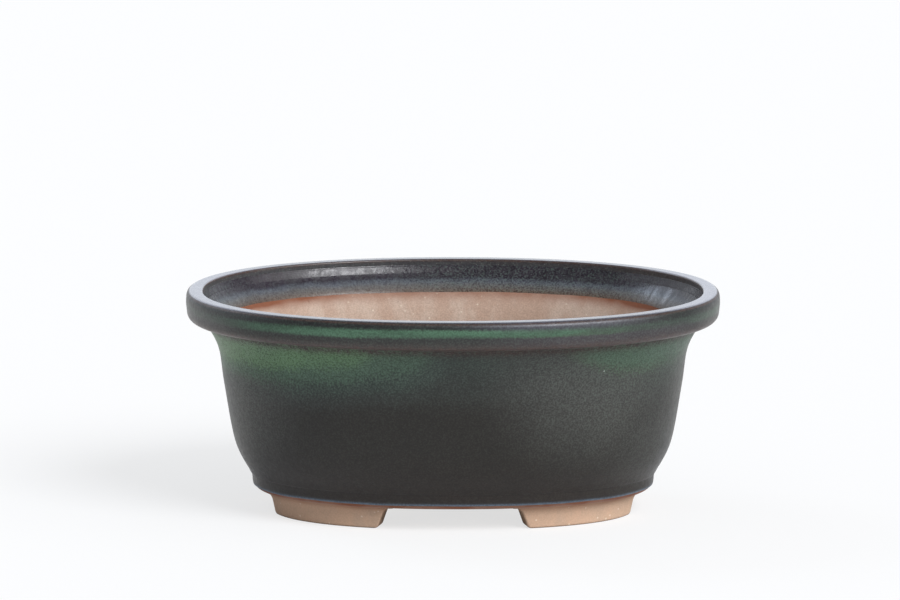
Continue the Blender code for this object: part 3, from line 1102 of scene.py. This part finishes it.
def foot_slice(low_z):
    # Outer face from top to bottom, then the underside, then the inner face up again
    edge = min(FOOT_EDGE_ROUND, (FOOT_SKIN_TOP_Z - low_z) / 2)
    rise = FOOT_SKIN_TOP_Z - low_z - edge
    heights = [low_z + edge + rise * (1.0 - k / FACE_ROWS) for k in range(FACE_ROWS + 1)]
    points = [(foot_face_inset(z), z) for z in heights]
    for k in range(1, EDGE_ROWS + 1):
        turn = math.pi / 2 * k / EDGE_ROWS
        z = low_z + edge * (1 - math.sin(turn))
        points.append((foot_face_inset(z) + edge * (1 - math.cos(turn)), z))
    inner = FOOT_INSET + FOOT_THICKNESS
    outer_low = points[-1][0]
    under = inner - edge - outer_low
    points += [(outer_low + under * k / UNDER_ROWS, low_z) for k in range(1, UNDER_ROWS + 1)]
    for k in range(1, BACK_ROWS + 1):
        turn = math.pi / 2 * k / BACK_ROWS
        points.append((inner - edge * (1 - math.sin(turn)), low_z + edge * (1 - math.cos(turn))))
    points += [(inner, low_z + edge + rise * k / BACK_ROWS) for k in range(1, BACK_ROWS + 1)]
    return points

# %% Where a foot's slices stand
FRONT_GAP = 53.0 * MM
END_GAP = 21.0 * MM
FOOT_END_COVE = 5.4 * MM
FOOT_END_COVE_ROOM = 8.5 * MM
FOOT_END_SLOPE = 3.5 * MM
FOOT_END_ROUND = 1.9 * MM
FOOT_PITCH = 0.8 * MM
FOOT_END_PITCH = 0.5 * MM
ARC_SAMPLES = 600
FOOT_END = rounded([
    (-FOOT_END_COVE_ROOM, UNDERSIDE_Z, 0.0),
    (0.0, UNDERSIDE_Z, FOOT_END_COVE),
    (FOOT_END_SLOPE, 0.0, FOOT_END_ROUND),
    (FOOT_END_SLOPE + 2 * FOOT_END_ROUND, 0.0, 0.0),
], steps=14)
FOOT_END = evenly(FOOT_END[1:-1], FOOT_END_PITCH)


def end_run_at(z):
    # How far the foot's end has drawn in at a height
    for a, b in zip(FOOT_END, FOOT_END[1:]):
        if a.y >= z > b.y:
            return a.x + (b.x - a.x) * (a.y - z) / (a.y - b.y)
    return FOOT_END[0].x if z > FOOT_END[0].y else FOOT_END[-1].x


def foot_stations():
    # Angle, lower edge and length from the nearer end, from the end gap to the front gap
    angles = [math.pi / 2 * k / ARC_SAMPLES for k in range(ARC_SAMPLES + 1)]
    line = [point - outward * FOOT_INSET for point, outward in map(oval_place, angles)]
    lengths = [0.0]
    for a, b in zip(line, line[1:]):
        lengths.append(lengths[-1] + (b - a).length)
    start = next(s for s, p in zip(lengths, line) if p.y >= END_GAP / 2)
    stop = next(s for s, p in zip(lengths, line) if p.x <= FRONT_GAP / 2)
    reach = FOOT_END[-1].x
    count = round((stop - start - 2 * reach) / FOOT_PITCH)
    ends = [(p.x, max(0.0, p.y)) for p in FOOT_END]
    middle = [reach + (stop - start - 2 * reach) * k / count for k in range(1, count)]
    places = [(start + run, low_z, run) for run, low_z in ends]
    places += [(start + run, 0.0, min(run, stop - start - run)) for run in middle]
    places += [(stop - run, low_z, run) for run, low_z in reversed(ends)]
    stations = []
    for length, low_z, run in places:
        k = next(i for i, s in enumerate(lengths) if s >= length)
        share = (length - lengths[k - 1]) / (lengths[k] - lengths[k - 1])
        stations.append((angles[k - 1] + (angles[k] - angles[k - 1]) * share, low_z, run))
    return stations


STATIONS = foot_stations()
print("slices in a foot", len(STATIONS))

# %% Make the four feet
FOOT_CORNER_ROUND = 1.0 * MM
FOOT_FLASH = 0.6
FOOT_FLASH_REACH = 1.5 * MM
# Where a foot's end slopes up, its lowest points get a painted shade with some flashing
CUT_END_SHADE_ABOVE = 0.3 * MM
CUT_END_SHADE_REACH = 0.35 * MM


def corner_turn(run, z):
    # The foot's upright corners are rounded: near an end, both faces draw in
    short = max(0.0, FOOT_CORNER_ROUND - max(0.0, run - end_run_at(z)))
    return FOOT_CORNER_ROUND - math.sqrt(FOOT_CORNER_ROUND ** 2 - short ** 2)


def make_foot(node, x_side, y_side):
    bm = bmesh.new()
    bm.loops.layers.uv.new("sheet")
    flash = bm.verts.layers.float.new("flash")
    cut_end_shade = bm.verts.layers.float.new("cut_end_shade")
    slices = [(*oval_place(angle), low_z, run, foot_slice(low_z)) for angle, low_z, run in STATIONS]
    columns = len(slices) - 1
    rows = len(slices[0][4])
    bmesh.ops.create_grid(bm, x_segments=columns, y_segments=rows, size=0.5, calc_uvs=True)
    middle_inset = FOOT_INSET + FOOT_THICKNESS / 2
    for vert in bm.verts:
        point, outward, low_z, run, outline = slices[round((vert.co.x + 0.5) * columns)]
        # The last row comes back to the first, which closes the foot's top
        inset, z = outline[round((vert.co.y + 0.5) * rows) % rows]
        # Both faces draw in at a corner, and the middle of the foot stays where it is
        side_share = max(-1.0, min(1.0, (middle_inset - inset) / (FOOT_THICKNESS / 2)))
        inset += corner_turn(run, min(z, UNDERSIDE_Z)) * side_share
        x, y = point - outward * inset
        below_top = max(0.0, UNDERSIDE_Z - z)
        vert[flash] = FOOT_FLASH * math.exp(-(below_top / FOOT_FLASH_REACH) ** 2)
        vert[cut_end_shade] = 1.0 if low_z > CUT_END_SHADE_ABOVE and z < low_z + CUT_END_SHADE_REACH else 0.0
        vert.co = (x * x_side, y * y_side, max(0.0, z))
    bmesh.ops.remove_doubles(bm, verts=bm.verts, dist=MERGE_REACH)
    bmesh.ops.holes_fill(bm, edges=[e for e in bm.edges if e.is_boundary])
    make_piece(bm, node, foot_finish)


for x_side, x_name in ((-1, "left"), (1, "right")):
    for y_side, y_name in ((-1, "front"), (1, "rear")):
        make_foot(f"foot_{y_name}_{x_name}", x_side, y_side)

# %% [markdown]
# ## Floor
# The pot stands on a plain pale floor that keeps its shadow. A glossy glaze mirrors the studio,
# so the floor is given the studio's shape for reflections only: a bright table round the pot, a
# dim floor further off, and behind the pot a white sweep of paper that slants back on the right.

# %% The floor's finish
TABLE_REACH = 0.21
TABLE_FADE = 1.6
DIM_SHARE = 0.6
SWEEP_FROM = 0.08
SWEEP_SLANT = 0.25
SHADOW_SHARE = 0.3
PAPER = (0.74, 0.74, 0.74)
MIRRORED_PAPER = (0.86, 0.86, 0.86)
SEEN_PAPER = (0.95, 0.95, 0.95)
BLACK = (0.0, 0.0, 0.0)
WHITE = (1.0, 1.0, 1.0)


def ray_kinds(tree):
    # Whether a ray mirrors off the glaze, and whether it is seen directly or through glass
    paths = tree.nodes.new("ShaderNodeLightPath").outputs
    seen = calc("MAXIMUM", paths["Is Camera Ray"], paths["Is Transmission Ray"])
    return paths["Is Glossy Ray"], seen


def mix_shaders(share, first, second):
    made = first.id_data.nodes.new("ShaderNodeMixShader")
    for socket, value in zip(made.inputs, (share, first, second)):
        plug(socket, value)
    return made.outputs[0]


def make_floor_finish():
    material, tree, shader, where = start_material("pale_floor")
    tree.nodes.remove(shader)
    mirrored, seen = ray_kinds(tree)
    away = put(tree, "VectorMath", "Value", settings={"operation": "LENGTH"}, Vector=where)
    slant = times(axis(where, "X"), SWEEP_SLANT)
    back = calc("SUBTRACT", axis(where, "Y"), slant)
    dim = step(away, TABLE_REACH, TABLE_REACH * TABLE_FADE, 0.0, DIM_SHARE)
    paper = blend(mirrored, PAPER, MIRRORED_PAPER)
    paper = blend(times(mirrored, dim), paper, BLACK)
    white = put(tree, "Emission", Color=WHITE, Strength=1.0)
    in_sweep = times(mirrored, step(back, 0.0, SWEEP_FROM))
    sweep = mix_shaders(in_sweep, put(tree, "BsdfDiffuse", Color=paper), white)
    shown = mix_shaders(SHADOW_SHARE, white, put(tree, "BsdfDiffuse", Color=SEEN_PAPER))
    surface = tree.nodes["Material Output"].inputs["Surface"]
    plug(surface, mix_shaders(seen, sweep, shown))
    return material

# %% Lay the floor
FLOOR_REACH = 12.0
FLOOR_DROP = 0.02 * MM


def make_floor():
    bm = bmesh.new()
    bmesh.ops.create_grid(bm, x_segments=1, y_segments=1, size=FLOOR_REACH)
    bmesh.ops.translate(bm, verts=bm.verts, vec=(0.0, 0.0, -FLOOR_DROP))
    floor = add_mesh("studio_floor", bm, make_floor_finish())
    print("floor", round(2 * FLOOR_REACH), "m wide")


make_floor()

# %% [markdown]
# ## Light
# A softbox at the front right is the key light, and it draws the bright streak inside the lip. A
# wide reflector at the right fills that side, and a cool window at the back left lights the far
# end of the mouth. The sky that the glaze mirrors is white behind the pot and dim in front, and
# its white part begins further back on the right.

# %% The sky and the lamps
SKY_LIGHT = 0.42
DIM_FRONT = 0.18
COOL_WHITE = (0.88, 0.93, 1.0)
SKY_SLANT = 0.45
BEHIND = (-0.15, 0.35)
LOW_SKY = (0.85, 0.45)
# Each lamp is its name, where it shines from, its strength, its width in degrees and its colour
LAMPS = [
    ("key_softbox", (0.485, -0.62, 0.616), 2.35, 30.0, (0.96, 0.97, 1.0)),
    ("right_reflector", (0.80, -0.42, 0.42), 0.9, 55.0, (1.0, 0.985, 0.965)),
    ("back_window", (-0.62, 0.45, 0.64), 0.32, 20.0, (0.72, 0.83, 1.0)),
]


def make_sky():
    world = bpy.data.worlds.new("white_studio")
    bpy.context.scene.world = world
    world.use_nodes = True
    tree = world.node_tree
    tree.nodes.clear()
    direction = put(tree, "TexCoord", "Generated")
    slant = times(axis(direction, "X"), SKY_SLANT)
    back = calc("SUBTRACT", axis(direction, "Y"), slant)
    low = step(axis(direction, "Z"), *LOW_SKY)
    backdrop = times(step(back, *BEHIND), low)
    mirrored, seen = ray_kinds(tree)
    strength = between(mirrored, SKY_LIGHT, step(backdrop, 0.0, 1.0, DIM_FRONT, 1.0))
    strength = between(seen, strength, 1.0)
    sky = put(tree, "Background", Color=blend(seen, COOL_WHITE, WHITE), Strength=strength)
    plug(tree.nodes.new("ShaderNodeOutputWorld").inputs["Surface"], sky)


make_sky()
for name, shines_from, strength, degrees, colour in LAMPS:
    sun = bpy.data.lights.new(name, "SUN")
    sun.energy = strength
    sun.angle = math.radians(degrees)
    sun.color = colour
    turn = Vector(shines_from).to_track_quat("Z", "Y").to_euler()
    add_object(name, sun).rotation_euler = turn
print("lamps", [lamp[0] for lamp in LAMPS])

# %% [markdown]
# ## Camera
# A long lens from three metres shows the pot almost without perspective, a little from above.
# The camera stands where the photograph was taken from, and looks slightly over the pot, so
# that the pot lies below the middle of the picture.

# %% The camera
PIXEL = 0.3934 * MM
CAMERA_DISTANCE_PIXELS = 8000
CAMERA_ELEVATION = math.radians(10.37)
POT_MIDDLE = Vector((0.0, 0.0, 47.2 * MM))
MIDDLE_RIGHT_PIXELS = 3.1
MIDDLE_DOWN_PIXELS = 89.6
CAMERA_ROLL = math.radians(0.06)
LENS = 320.0
SENSOR = 36.0


def make_camera():
    data = bpy.data.cameras.new("camera")
    data.lens = LENS
    data.sensor_width = SENSOR
    data.clip_start = 0.1
    data.clip_end = 50.0
    camera = add_object("camera", data)
    back = Vector((0.0, -math.cos(CAMERA_ELEVATION), math.sin(CAMERA_ELEVATION)))
    right = Vector((1.0, 0.0, 0.0))
    up = right.cross(-back)
    place = POT_MIDDLE + back * CAMERA_DISTANCE_PIXELS * PIXEL
    aim = POT_MIDDLE - right * MIDDLE_RIGHT_PIXELS * PIXEL + up * MIDDLE_DOWN_PIXELS * PIXEL
    camera.location = place
    camera.rotation_euler = (aim - place).to_track_quat("-Z", "Y").to_euler()
    camera.rotation_euler.rotate_axis("Z", CAMERA_ROLL)
    bpy.context.scene.camera = camera
    print("camera", [round(v, 3) for v in place])


make_camera()
bpy.context.scene.view_settings.view_transform = "Standard"
